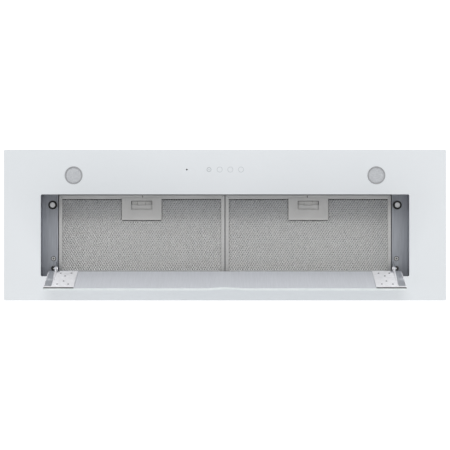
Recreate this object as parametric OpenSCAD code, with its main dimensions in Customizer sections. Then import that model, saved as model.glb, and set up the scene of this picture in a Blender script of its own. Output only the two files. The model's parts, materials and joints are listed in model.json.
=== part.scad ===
// Under-cabinet range hood with a drop-down aspiration panel and two grease filters.
// +X runs along the hood, +Y towards the wall, +Z up into the cabinet. Millimetres.
// Z = 0 is the seat against the cabinet's underside; X = Y = 0 is the fascia's centre.

/* [Fascia] */
// Length of the glass fascia
fascia_w = 900; // [880:1:940]
// Depth of the glass fascia
fascia_d = 307; // [300:1:330]
// Thickness of both glass sheets
glass_t = 4; // [3:0.5:5]
// Length of the opening in the fascia
opening_w = 750; // [744:1:756]
// Front edge of the opening
opening_front = -62.5; // [-66:0.5:-60]
// Rear edge of the opening
opening_rear = 104.2; // [104:0.1:106]
// Distance of each lamp from the middle
lamp_x = 308; // [260:1:330]
// Lamp centre line
lamp_y = -101.3; // [-106:0.1:-98]
// Diameter of a lamp lens
lamp_d = 35.6; // [30:0.1:40]
// Touch key centre line
key_y = -113; // [-116:0.5:-110]
// Position of the sensor lens
sensor_x = -77.7; // [-85:0.1:-70]

/* [Body] */
// Sheet metal thickness
sheet = 0.8; // [0.6:0.1:1]
// Length of the lower body
body_w = 834; // [820:1:840]
// Depth of the lower body
body_d = 262; // [256:1:270]
// Height of the lower body
body_h = 80; // [76:1:90]
// Radius of a cabinet screw hole in the body's ends
cabinet_screw_r = 2.25; // [2:0.05:3]
// Length of the motor box
box_w = 400; // [380:1:440]
// Depth of the motor box
box_d = 250; // [244:1:256]
// Top of the motor box
box_top = 250; // [248:1:262]

/* [Outlet] */
// Outer radius of the duct spigot
collar_r = 74.5; // [70:0.5:76]
// Height of the duct spigot
collar_h = 40; // [36:1:60]
// Height of the square-to-round cone
cone_h = 25; // [20:1:35]
// Bore of the cable gland
gland_bore_r = 3.8; // [3:0.1:5]

/* [Filters] */
// Length of one filter
filter_w = 341; // [336:0.5:341]
// Depth of one filter
filter_d = 163; // [160:0.5:164]
// Thickness of a filter frame
filter_t = 9; // [8:0.5:10]
// Underside of the filters and of the side ledges
ledge_z = 50; // [48:1:56]
// Length of a filter handle
handle_w = 82; // [70:1:90]

/* [Panel] */
// Length of the aspiration panel
panel_w = 721; // [700:1:730]
// Depth of the aspiration panel
panel_d = 150; // [146:1:152]
// Angle between the closed and the open panel
panel_open = 101.5; // [90:0.5:102]
// Hinge axis, distance behind the middle
pivot_y = 89.8; // [88:0.1:91]
// Hinge axis, height
pivot_z = 5; // [4.5:0.1:6]

/* [Blower] */
// Radius of the impeller
wheel_r = 65; // [58:0.5:66]
// Length of the impeller
wheel_w = 150; // [120:1:150]
// Number of blades
blade_count = 30; // [20:1:36]
// Blower axis, distance behind the middle
blower_y = 20; // [15:1:24]
// Blower axis, height
blower_z = 172; // [171:1:174]

/* [Hidden] */
$fn = 64;

// Fascia layers, from the visible face up to the seat at Z = 0
tape_t = 0.6;
glass_z = -2 * sheet - tape_t - glass_t;
tape_z = glass_z + glass_t;
frame_z = tape_z + tape_t;
flange_z = -sheet;
corner_r = 3;
board_z = 1.5;
clear_cut = 1;

// Recess
liner_w = opening_w + 2;
liner_front = opening_front - 0.5;
liner_rear = 110;
ledge_inner_x = 343.5;
liner_top = body_h - sheet;

// Panel, drawn closed and then swung open about the hinge axis
panel_front = -53;
skin_t = 1;
skin_z = tape_z;
plate_z = skin_z + skin_t;
plate_t = 0.8;
plate_w = 61;
gusset_x = panel_w / 2 - 17.4;
gusset_t = 1.5;
notch_w = 67;
notch_d = 8.5;
notch_r = (notch_w * notch_w / 4 + notch_d * notch_d) / (2 * notch_d);

// Hinge
pin_r = 2.5;
pin_gap = 0.06;
ear_r = 5;
ear_t = 2;
ear_x = gusset_x + gusset_t + 0.4;
hinge_screw_y = [69, 89];
hinge_base_x = 353;
catch_x = 351.5;
catch_y = -41;
catch_face_z = 0.9;

// Filters
filter_x = 1 + filter_w / 2;
filter_front = -61.6;
rail_w = 7;
front_rail_w = 5.5;
handle_d = 45.7;
handle_front = -56;
pocket_w = 43;
pocket_front = -49.9;
pocket_d = 18.6;
pocket_ceiling = ledge_z + 4.4;
tongue_w = 16;
tongue_t = 1.2;
tongue_tip = -62.4;
lip_y = 99;
lip_z = ledge_z - 0.9;

// Outlet and blower
collar_y = blower_y - 58.2;
spigot_z = box_top + sheet + cone_h;
spigot_wall = 1;
rod_r = 1.5;
flap_z = spigot_z + 12;
flap_t = 1;
scroll_w = 180;
scroll_t = 1;
scroll_r0 = 71;
scroll_r1 = 98;
tongue_angle = 105;
scroll_end = -180;
wheel_rim = 10;
shaft_r = 4;
arm_angles = [60, 180, 300];

module left_hand() { mirror([1, 0, 0]) children(); }
module block(x0, x1, y0, y1, z0, z1) {
    translate([x0, y0, z0]) cube([x1 - x0, y1 - y0, z1 - z0]);
}
module rounded_rect(w, d, r) {
    for (s = [[w, d - 2 * r], [w - 2 * r, d]]) square(s, center = true);
    for (x = [-1, 1], y = [-1, 1]) translate([x * (w / 2 - r), y * (d / 2 - r)]) circle(r);
}
module opening_2d(grow) {
    translate([0, (opening_front + opening_rear) / 2])
        rounded_rect(opening_w + 2 * grow, opening_rear - opening_front + 2 * grow, corner_r + grow);
}
module along_x(x0, x1) { translate([x0, 0, 0]) rotate([90, 0, 90]) linear_extrude(x1 - x0) children(); }
module rod_x(r, x0, x1, y, z) { translate([x0, y, z]) rotate([0, 90, 0]) cylinder(r = r, h = x1 - x0); }
module tube(r_out, r_in, h) { difference() { cylinder(r = r_out, h = h);
    translate([0, 0, -clear_cut]) cylinder(r = r_in, h = h + 2 * clear_cut); } }
module swung_open() {
    translate([0, pivot_y, pivot_z]) rotate([panel_open, 0, 0]) translate([0, -pivot_y, -pivot_z]) children();
}
module pan_screw(r, head_r, length) {
    difference() {
        union() {
            cylinder(r = r, h = length);
            translate([0, 0, -2]) cylinder(r = head_r, h = 2);
        }
        for (a = [0, 90]) rotate([0, 0, a]) translate([-head_r * 0.6, -0.5, -3]) cube([head_r * 1.2, 1, 2]);
    }
}

// ---- Fascia ----

module fascia_glass() {
    color("whitesmoke") translate([0, 0, glass_z]) linear_extrude(glass_t) difference() {
        rounded_rect(fascia_w, fascia_d, corner_r);
        opening_2d(0);
        for (s = [-1, 1]) translate([s * lamp_x, lamp_y]) circle(lamp_d / 2 + 0.3);
        translate([sensor_x, key_y]) circle(1.7);
    }
}

module glass_bonding_tape() {
    color("white") translate([0, 0, tape_z]) linear_extrude(tape_t) {
        difference() {
            rounded_rect(fascia_w - 12, fascia_d - 12, corner_r);
            rounded_rect(fascia_w - 42, fascia_d - 42, corner_r);
        }
        difference() {
            opening_2d(11);
            opening_2d(2);
        }
    }
}

module fascia_backing_frame() {
    color("lightgray") translate([0, 0, frame_z]) linear_extrude(sheet) difference() {
        rounded_rect(fascia_w - 8, fascia_d - 8, corner_r);
        opening_2d(2);
        for (s = [-1, 1]) translate([s * lamp_x, lamp_y]) circle(22.5);
        translate([-92, key_y - 14]) square([144, 28]);
    }
}

module lamp_lens() {
    color("gainsboro") translate([lamp_x, lamp_y, 0]) {
        translate([0, 0, glass_z + 0.3]) cylinder(r = lamp_d / 2, h = glass_t);
        translate([0, 0, tape_z + 0.1]) cylinder(r = 20.4, h = 1.2);
    }
}

module lamp_housing() {
    color("silver") translate([lamp_x, lamp_y, tape_z + 1.4]) difference() {
        union() {
            cylinder(r = 21.6, h = 22);
            translate([-26, -6, 1]) cube([52, 12, 1.5]);
        }
        translate([0, 0, -clear_cut]) cylinder(r = 20, h = 21.5);
        for (x = [-9, 9]) translate([x, 0, 10]) cylinder(r = 2, h = 14);
    }
}

module lamp_board() {
    color("darkgreen") translate([lamp_x, lamp_y, 14]) cylinder(r = 19.9, h = 1.6);
}

module touch_module_housing() {
    color("dimgray") translate([-20, key_y, tape_z]) difference() {
        translate([-71, -13, 0]) cube([142, 26, 13]);
        translate([-69.5, -11.5, -clear_cut]) cube([139, 23, 12.5]);
        translate([60, -6, 5]) cube([20, 12, 6]);
    }
}

module touch_board() {
    color("darkgreen") difference() {
        block(-89, 49, key_y - 11, key_y + 11, board_z, board_z + 1.6);
        translate([sensor_x, key_y, 0]) cylinder(r = 1.6, h = 5);
    }
    color("dimgray") for (i = [-1.5, -0.5, 0.5, 1.5])
        translate([i * 21.7, key_y, tape_z + 0.1]) tube(5.5, 4.2, board_z - tape_z - 0.1);
}

module sensor_lens() {
    color("black") translate([sensor_x, key_y, glass_z + 0.2]) cylinder(r = 1.5, h = 9);
}

// ---- Lower body ----

module body_shell() {
    hw = body_w / 2;
    hd = body_d / 2;
    color("silver") difference() {
        union() {
            block(-hw, hw, -hd, hd, flange_z, body_h);
            block(4 - fascia_w / 2, fascia_w / 2 - 4, 4 - fascia_d / 2, fascia_d / 2 - 4, flange_z, 0);
        }
        block(sheet - hw, hw - sheet, sheet - hd, hd - sheet, flange_z - clear_cut, body_h - sheet);
        block(-190, 190, liner_front + 3, liner_rear - 3, 0, body_h + clear_cut);
        translate([-320, 0, 0]) cylinder(r = 8, h = body_h + clear_cut);
        for (y = [-60, 60]) rod_x(cabinet_screw_r, -hw - clear_cut, hw + clear_cut, y, 60);
        at_box_screws() translate([0, 0, body_h - 2]) cylinder(r = 2.1, h = 3);
    }
}

module recess_liner() {
    hw = liner_w / 2;
    color("silver") difference() {
        union() {
            block(-hw - 14, hw + 14, liner_front - 12, liner_rear + 12, flange_z, 0);
            block(-hw - sheet, hw + sheet, liner_front - sheet, liner_rear + sheet, flange_z, ledge_z + sheet);
            block(-ledge_inner_x - sheet, ledge_inner_x + sheet, liner_front - sheet, liner_rear + sheet,
                ledge_z, liner_top - 0.1);
        }
        block(-hw, hw, liner_front, liner_rear, flange_z - clear_cut, ledge_z);
        block(-ledge_inner_x, ledge_inner_x, liner_front, liner_rear, ledge_z - clear_cut, body_h);
        for (s = [-1, 1], y = hinge_screw_y) translate([s * hinge_base_x, y, ledge_z - clear_cut])
            cylinder(r = 1.6, h = 4);
        for (s = [-1, 1]) translate([s * catch_x, catch_y, ledge_z - clear_cut]) cylinder(r = 3.05, h = 4);
    }
}

// The filters tip about this rail's rolled lip
module filter_rear_rail() {
    color("silver") {
        rod_x(0.8, -342, 342, lip_y, lip_z);
        block(-342, 342, lip_y, liner_rear, ledge_z - 1.3, ledge_z - 0.5);
        block(-342, 342, liner_rear - sheet, liner_rear, ledge_z - 1.3, ledge_z + 14);
    }
}

module filter_divider() {
    color("silver") {
        block(-8, 8, liner_front, liner_rear - sheet, ledge_z + 10.2, ledge_z + 11.4);
        block(-0.6, 0.6, liner_front, liner_rear - sheet, ledge_z + 11.4, ledge_z + 20);
    }
}

module catch_post() {
    color("black") translate([catch_x, catch_y, 0]) difference() {
        union() {
            translate([0, 0, catch_face_z]) cylinder(r = 9, h = 10);
            translate([0, 0, catch_face_z + 10]) cylinder(r = 6, h = ledge_z - catch_face_z - 10);
            translate([0, 0, ledge_z]) cylinder(r = 3, h = 6);
        }
        translate([0, 0, catch_face_z - clear_cut]) cylinder(r = 5.8, h = clear_cut + 3);
    }
}

module catch_magnet() {
    color("gainsboro") translate([catch_x, catch_y, catch_face_z + 0.2]) cylinder(r = 5.65, h = 2.7);
}

module hinge_base() {
    color("gainsboro") difference() {
        union() {
            block(ear_x, 365, 62, 96, ledge_z - 2, ledge_z);
            along_x(ear_x, ear_x + ear_t) polygon([[74, ledge_z - 1], [96, ledge_z - 1], [94, 36],
                [pivot_y + 3, pivot_z + 4], [pivot_y - ear_r, pivot_z], [81, 32]]);
            rod_x(ear_r, ear_x, ear_x + ear_t, pivot_y, pivot_z);
        }
        for (y = hinge_screw_y) translate([hinge_base_x, y, ledge_z - 3]) cylinder(r = 2.2, h = 4);
        rod_x(pin_r + pin_gap, ear_x - clear_cut, ear_x + ear_t + clear_cut, pivot_y, pivot_z);
    }
}

module hinge_base_screws() {
    color("silver") for (s = [-1, 1], y = hinge_screw_y)
        translate([s * hinge_base_x, y, ledge_z - 2]) pan_screw(1.55, 4, 8);
}

module hinge_pin() {
    color("dimgray") {
        rod_x(pin_r, gusset_x - 0.4, ear_x + ear_t + 0.4, pivot_y, pivot_z);
        rod_x(4.4, gusset_x - 2, gusset_x - 0.3, pivot_y, pivot_z);
        rod_x(4, ear_x + ear_t + 0.3, ear_x + ear_t + 1.6, pivot_y, pivot_z);
    }
}

// ---- Motor box, blower and outlet ----

module at_box_screws() {
    for (s = [-1, 1], y = [-90, -30, 30, 90]) translate([s * (box_w / 2 + 5), y, 0]) children();
}
module at_collar_screws() {
    for (x = [-98, 98], y = [-48, 48]) translate([x, collar_y + y, 0]) children();
}

module motor_box() {
    hw = box_w / 2;
    hd = box_d / 2;
    color("silver") difference() {
        union() {
            block(-hw, hw, -hd, hd, body_h, box_top + sheet);
            block(-hw - 10, hw + 10, -hd, hd, body_h, body_h + sheet);
        }
        block(sheet - hw, hw - sheet, sheet - hd, hd - sheet, body_h - clear_cut, box_top);
        block(-scroll_w / 2, scroll_w / 2, collar_y - 40, collar_y + 40, box_top - 1, box_top + 2);
        at_box_screws() translate([0, 0, body_h - 1]) cylinder(r = 2.1, h = 3);
        at_collar_screws() translate([0, 0, box_top - 1]) cylinder(r = 2.1, h = 3);
    }
}

module motor_box_screws() {
    color("gray") at_box_screws() translate([0, 0, body_h + sheet]) {
        translate([0, 0, -2.2]) cylinder(r = 1.95, h = 3);
        cylinder(r = 4, h = 3, $fn = 6);
    }
}

// Spiral outline of the scroll, from its tongue round to its outlet wall
function spiral(r_add) = [for (i = [0:19]) let (f = i / 19, a = tongue_angle + f * (scroll_end - tongue_angle),
    r = scroll_r0 + f * (scroll_r1 - scroll_r0) + r_add) [r * cos(a), r * sin(a)]];
neck_top = box_top - blower_z;
module scroll_outline(t) {
    polygon(concat([[scroll_r0 * cos(tongue_angle) + t, neck_top]], spiral(t), [[-scroll_r1 - t, neck_top]]));
}

module scroll_half() {
    color("lightgray") difference() {
        translate([0, blower_y, blower_z]) along_x(0.05, scroll_w / 2) scroll_outline(scroll_t);
        translate([0, blower_y, blower_z]) along_x(-1, scroll_w / 2 - scroll_t) scroll_outline(0);
        block(-1, scroll_w / 2 - scroll_t, blower_y - scroll_r1, blower_y + scroll_r0 * cos(tongue_angle),
            box_top - 5, box_top + 1);
        rod_x(60.4, scroll_w / 2 - 5, scroll_w / 2 + 1, blower_y, blower_z);
    }
}

module inlet_ring() {
    color("gainsboro") translate([scroll_w / 2, blower_y, blower_z]) rotate([0, 90, 0])
        rotate_extrude() polygon([[56, -8], [57.2, -8], [58.2, -1.5], [60, 0], [65, 0], [65, 1.2], [59.4, 1.2],
            [57.2, -0.8]]);
}

module motor_housing() {
    color("dimgray") difference() {
        union() {
            rod_x(40, -76, -12, blower_y, blower_z);
            rod_x(43, -76, -73, blower_y, blower_z);
        }
        rod_x(shaft_r + pin_gap, -30, -11, blower_y, blower_z);
    }
}

module motor_bracket() {
    color("silver") difference() {
        union() {
            rod_x(47, -96, -94, blower_y, blower_z);
            for (a = arm_angles) translate([-96, blower_y, blower_z]) rotate([a, 0, 0])
                translate([0, -9, 0]) cube([2, 18, 76]);
            for (a = arm_angles) translate([-95, blower_y, blower_z]) rotate([a, 0, 0])
                translate([0, -6, 38]) cube([19, 12, 1.5]);
        }
        rod_x(37, -97, -93, blower_y, blower_z);
        for (a = arm_angles) translate([-98, blower_y, blower_z]) rotate([a, 0, 0])
            translate([0, 0, 71]) rotate([0, 90, 0]) cylinder(r = 3, h = 6);
    }
}

module motor_grommets() {
    color("black") for (a = arm_angles) translate([-97.5, blower_y, blower_z]) rotate([a, 0, 0])
        translate([0, 0, 71]) rotate([0, 90, 0]) difference() {
            union() {
                cylinder(r = 4.5, h = 1.5);
                cylinder(r = 3, h = 4);
                translate([0, 0, 3.5]) cylinder(r = 4.5, h = 4);
            }
            translate([0, 0, -1]) cylinder(r = 1.6, h = 9);
        }
}

module motor_shaft() { color("silver") rod_x(shaft_r, -29.5, 6, blower_y, blower_z); }

module impeller() {
    color("slategray") {
        difference() {
            rod_x(wheel_r, -1, 1, blower_y, blower_z);
            rod_x(shaft_r, -2, 2, blower_y, blower_z);
        }
        for (s = [-1, 1]) difference() {
            rod_x(wheel_r, s * (wheel_w / 2 - 1) - 1, s * (wheel_w / 2 - 1) + 1, blower_y, blower_z);
            rod_x(wheel_r - wheel_rim, s * (wheel_w / 2 - 1) - 2, s * (wheel_w / 2 - 1) + 2, blower_y, blower_z);
        }
        for (i = [1:blade_count]) translate([0, blower_y, blower_z]) rotate([i * 360 / blade_count, 0, 0])
            translate([-wheel_w / 2 + 0.5, -0.5, wheel_r - wheel_rim + 0.5]) cube([wheel_w - 1, 1, wheel_rim - 1]);
    }
}

module capacitor() {
    color("whitesmoke") translate([150, -80, body_h]) {
        cylinder(r = 17.5, h = 58);
        for (x = [-5, 5]) translate([x - 0.4, -3, 57]) cube([0.8, 6, 9]);
    }
}

module outlet_collar() {
    color("dimgray") translate([0, collar_y, 0]) difference() {
        union() {
            block(-104, 104, -54, 54, box_top + sheet, box_top + sheet + 1.6);
            hull() {
                block(-92, 92, -42, 42, box_top + sheet, box_top + sheet + 1.6);
                translate([0, 0, spigot_z - 1]) cylinder(r = collar_r, h = 1, $fn = 32);
            }
            translate([0, 0, spigot_z]) cylinder(r = collar_r, h = collar_h);
        }
        hull() {
            block(-89.5, 89.5, -39.5, 39.5, box_top + sheet - 1, box_top + sheet + 0.5);
            translate([0, 0, spigot_z - 1.5]) cylinder(r = collar_r - 2, h = 0.5, $fn = 32);
        }
        translate([0, 0, spigot_z - 3]) cylinder(r = collar_r - 3, h = 20);
        translate([0, 0, flap_z - flap_t / 2 - 0.2]) cylinder(r = collar_r - spigot_wall, h = collar_h);
        rod_x(rod_r, -80, 80, 0, flap_z);
        translate([0, -collar_y, 0]) at_collar_screws() translate([0, 0, box_top]) cylinder(r = 2.1, h = 5);
    }
}

module collar_screws() {
    color("silver") at_collar_screws() translate([0, 0, box_top + sheet + 1.6])
        mirror([0, 0, 1]) pan_screw(1.95, 4, 2.4);
}

module flap_rod() { color("silver") rod_x(rod_r, 0.5 - collar_r, collar_r - 0.5, collar_y, flap_z); }

// Half-round flap with two knuckles on the rod
module flap(side, knuckles) {
    difference() {
        union() {
            intersection() {
                translate([0, collar_y, flap_z - 0.5]) cylinder(r = collar_r - spigot_wall - 0.6, h = flap_t);
                translate([-80, side > 0 ? collar_y + 3.3 : collar_y - 83.3, flap_z - 5]) cube([160, 80, 10]);
            }
            for (x = knuckles) {
                rod_x(2.8, x - 4, x + 4, collar_y, flap_z);
                translate([x - 4, side > 0 ? collar_y : collar_y - 6, flap_z - 0.5]) cube([8, 6, flap_t]);
            }
        }
        rod_x(rod_r + pin_gap, -80, 80, collar_y, flap_z);
    }
}
module flap_front() { color("lightgray") flap(-1, [-50, 30]); }
module flap_rear() { color("lightgray") flap(1, [-30, 50]); }

// ---- Control box ----

module control_box_base() {
    color("silver") difference() {
        block(-390, -250, -60, 60, body_h, body_h + 30);
        block(-388.8, -251.2, -58.8, 58.8, body_h + 1.2, body_h + 31);
        translate([-320, 0, body_h - 1]) cylinder(r = 8, h = 4);
    }
    color("silver") for (x = [-380, -260], y = [-50, 50]) translate([x, y, body_h + 1.2]) cylinder(r = 3, h = 6.8);
}

module control_box_cover() {
    color("silver") difference() {
        block(-391.6, -248.4, -61.6, 61.6, body_h + 18, body_h + 31.6);
        block(-390.2, -249.8, -60.2, 60.2, body_h + 17, body_h + 30.2);
        translate([-320, 20, body_h + 29]) cylinder(r = 8, h = 4);
    }
}

module control_board() {
    color("darkgreen") difference() {
        block(-385, -255, -55, 55, body_h + 8, body_h + 9.6);
        translate([-320, 0, body_h]) cylinder(r = 10, h = 20);
    }
    color("black") block(-375, -345, -30, 10, body_h + 9.6, body_h + 26);
    color("navy") for (y = [-40, -20]) block(-300, -285, y, y + 15, body_h + 9.6, body_h + 24);
    color("green") block(-300, -288, 10, 50, body_h + 9.6, body_h + 20);
}

module cable_gland() {
    color("black") translate([-320, 20, body_h]) difference() {
        union() {
            translate([0, 0, 22]) cylinder(r = 11, h = 4, $fn = 6);
            translate([0, 0, 26]) cylinder(r = 7.8, h = 7);
            translate([0, 0, 31.8]) cylinder(r = 12, h = 6, $fn = 6);
            translate([0, 0, 37]) cylinder(r = 9, h = 10);
        }
        translate([0, 0, 20]) cylinder(r = gland_bore_r, h = 30);
    }
}

// ---- Aspiration panel ----

module panel_2d(inset) {
    difference() {
        translate([0, panel_front + panel_d / 2]) rounded_rect(panel_w - 2 * inset, panel_d - 2 * inset, 2);
        translate([0, panel_front + notch_d - notch_r]) circle(notch_r + inset, $fn = 128);
    }
}

module panel_glass() { color("whitesmoke") swung_open() translate([0, 0, glass_z]) linear_extrude(glass_t) panel_2d(0); }

module panel_skin() {
    color("silver") swung_open() translate([0, 0, skin_z]) linear_extrude(skin_t) panel_2d(0.6);
}

module end_plate() {
    x1 = panel_w / 2;
    color("lightgray") swung_open() difference() {
        block(x1 - plate_w, x1, -51.2, 96, plate_z, plate_z + plate_t);
        block(gusset_x - 3, gusset_x + 8, pivot_y - 8, 100, plate_z - 1, plate_z + 3);
    }
}

// Leaf plate with six small holes, and the flange that carries the hinge pin
module hinge_leaf() {
    x1 = panel_w / 2;
    leaf_z = plate_z + plate_t;
    leaf_len = 142;
    color("gainsboro") swung_open() difference() {
        union() {
            block(x1 - plate_w + 0.8, gusset_x + gusset_t, -49.2, 80, leaf_z, leaf_z + plate_t);
            block(x1 - plate_w + 0.8, gusset_x - 6, 79, 94, leaf_z, leaf_z + plate_t);
            along_x(gusset_x, gusset_x + gusset_t) polygon([[-2, leaf_z], [20, leaf_z + 5.5], [60, leaf_z + 9],
                [84, pivot_z + 5.6], [pivot_y, pivot_z + 5.6], [pivot_y + 4, pivot_z + 2], [pivot_y + 4, leaf_z]]);
        }
        for (h = [[26.5, 0.137], [48.5, 0.137], [26.5, 0.83], [48.5, 0.83], [37.5, 0.317], [37.5, 0.641]])
            translate([x1 - h[0], 91 - h[1] * leaf_len, leaf_z - 1]) cylinder(r = 1.8, h = 4);
        rod_x(pin_r + pin_gap, gusset_x - 2, gusset_x + 3, pivot_y, pivot_z);
    }
}

// ---- Grease filters ----

module filter_frame() {
    x0 = filter_x - filter_w / 2;
    rear = filter_front + filter_d;
    color("silver") difference() {
        block(x0, x0 + filter_w, filter_front, rear, ledge_z, ledge_z + filter_t);
        block(x0 + rail_w, x0 + filter_w - rail_w, filter_front + front_rail_w, rear - rail_w,
            ledge_z - 1, ledge_z + filter_t + 1);
        block(x0 + 1, x0 + filter_w - 1, filter_front + 1, rear - 1, ledge_z + 1, ledge_z + filter_t - 1);
        block(filter_x - tongue_w / 2 - 0.6, filter_x + tongue_w / 2 + 0.6, filter_front - 1, filter_front + 8,
            pocket_ceiling - 0.5, pocket_ceiling + tongue_t + 0.5);
    }
}

module filter_mesh() {
    x0 = filter_x - filter_w / 2;
    rear = filter_front + filter_d;
    color("darkgray") difference() {
        block(x0 + 1, x0 + filter_w - 1, filter_front + 1, rear - 1, ledge_z + 1, ledge_z + filter_t - 1);
        block(filter_x - handle_w / 2 - 0.1, filter_x + handle_w / 2 + 0.1, filter_front, handle_front + handle_d + 0.1,
            ledge_z - 1, ledge_z + filter_t);
    }
}

module filter_handle() {
    hw = handle_w / 2;
    back = handle_front + handle_d;
    color("darkgray") difference() {
        union() {
            block(filter_x - hw, filter_x + hw, handle_front, back, ledge_z - 1.2, ledge_z + 1);
            block(filter_x - hw, filter_x + hw, filter_front + front_rail_w + 0.1, back, ledge_z + 1, ledge_z + 7.8);
        }
        block(filter_x - pocket_w / 2, filter_x + pocket_w / 2, pocket_front, pocket_front + pocket_d,
            ledge_z - 2, ledge_z + 2);
        block(filter_x - pocket_w / 2 - 1, filter_x + pocket_w / 2 + 1, pocket_front - 0.5, back - 10,
            ledge_z + 1.1, pocket_ceiling);
        block(filter_x - tongue_w / 2 - 0.5, filter_x + tongue_w / 2 + 0.5, filter_front, back - 10,
            pocket_ceiling - 0.4, pocket_ceiling + tongue_t + 0.4);
    }
}

// Slider with a curved finger edge and the tongue that locks the filter
module filter_latch() {
    finger_y = -40.6;
    color("gray") {
        translate([filter_x, 0, ledge_z + 1.4]) linear_extrude(pocket_ceiling - ledge_z - 1.4) difference() {
            translate([-20.8, finger_y - 1.2]) square([41.6, 9]);
            translate([0, finger_y - 90]) circle(90, $fn = 96);
        }
        block(filter_x - tongue_w / 2, filter_x + tongue_w / 2, tongue_tip, finger_y + 7, pocket_ceiling,
            pocket_ceiling + tongue_t);
    }
}

fascia_glass();
fascia_backing_frame();
glass_bonding_tape();
body_shell();
recess_liner();
filter_rear_rail();
filter_divider();
motor_box();
motor_box_screws();
left_hand() scroll_half();  // scroll_left
scroll_half();  // scroll_right
left_hand() inlet_ring();  // inlet_ring_left
inlet_ring();  // inlet_ring_right
motor_housing();
motor_bracket();
motor_grommets();
capacitor();
control_box_base();
control_box_cover();
control_board();
touch_module_housing();
touch_board();
sensor_lens();
left_hand() lamp_lens();  // lamp_lens_left
lamp_lens();  // lamp_lens_right
left_hand() lamp_housing();  // lamp_housing_left
lamp_housing();  // lamp_housing_right
left_hand() lamp_board();  // lamp_board_left
lamp_board();  // lamp_board_right
outlet_collar();
collar_screws();
flap_rod();
cable_gland();
left_hand() catch_post();  // catch_post_left
catch_post();  // catch_post_right
left_hand() catch_magnet();  // catch_magnet_left
catch_magnet();  // catch_magnet_right
left_hand() hinge_base();  // hinge_base_left
hinge_base();  // hinge_base_right
hinge_base_screws();
left_hand() hinge_pin();  // hinge_pin_left
hinge_pin();  // hinge_pin_right
impeller();
motor_shaft();
flap_front();
flap_rear();
panel_glass();
panel_skin();
left_hand() end_plate();  // end_plate_left
end_plate();  // end_plate_right
left_hand() hinge_leaf();  // hinge_leaf_left
hinge_leaf();  // hinge_leaf_right
left_hand() filter_frame();  // filter_frame_left
filter_frame();  // filter_frame_right
left_hand() filter_mesh();  // filter_mesh_left
filter_mesh();  // filter_mesh_right
left_hand() filter_handle();  // filter_handle_left
filter_handle();  // filter_handle_right
left_hand() filter_latch();  // filter_latch_left
filter_latch();  // filter_latch_right
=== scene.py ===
"""Looks of the built-in range hood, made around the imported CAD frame.

Metres, with +Z up and +Y towards the wall. Pieces are drawn in millimetres and scaled by MM.
"""
import json
import math

import bmesh
import bpy
from mathutils import Matrix, Vector


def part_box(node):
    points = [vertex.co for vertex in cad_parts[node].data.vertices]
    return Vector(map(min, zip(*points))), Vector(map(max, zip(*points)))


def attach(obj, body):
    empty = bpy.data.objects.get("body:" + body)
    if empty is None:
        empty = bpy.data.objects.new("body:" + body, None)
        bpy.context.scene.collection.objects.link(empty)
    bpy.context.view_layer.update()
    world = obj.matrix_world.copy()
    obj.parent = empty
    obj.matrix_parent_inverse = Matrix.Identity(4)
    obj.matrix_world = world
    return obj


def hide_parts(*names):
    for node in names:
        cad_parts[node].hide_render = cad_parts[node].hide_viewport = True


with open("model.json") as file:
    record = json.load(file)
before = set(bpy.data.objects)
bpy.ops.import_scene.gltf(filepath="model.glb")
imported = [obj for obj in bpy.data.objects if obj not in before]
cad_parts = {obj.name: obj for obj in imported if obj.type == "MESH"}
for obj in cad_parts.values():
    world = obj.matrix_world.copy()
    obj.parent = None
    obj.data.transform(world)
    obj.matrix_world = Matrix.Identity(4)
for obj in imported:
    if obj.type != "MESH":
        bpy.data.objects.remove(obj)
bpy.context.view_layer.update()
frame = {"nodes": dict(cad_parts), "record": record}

MM = 0.001
RECORD = frame["record"]
BODY_OF = {node: body for body, nodes in RECORD["behaviour"]["bodies"].items() for node in nodes}
SLOT_OF = {part["node"]: part["material_slot"] for part in RECORD["subparts"]}
JOINTS = {joint["name"]: joint for joint in RECORD["behaviour"]["joints"]}
SIDES = (("left", -1), ("right", 1))


# ---------------------------------------------------------------- materials

COOL_TINT = (1, 1, 1.03)
ZINC_TINT = (1, 1.01, 1.04)
MESH_TINT = (1, 0.997, 0.985)


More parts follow.
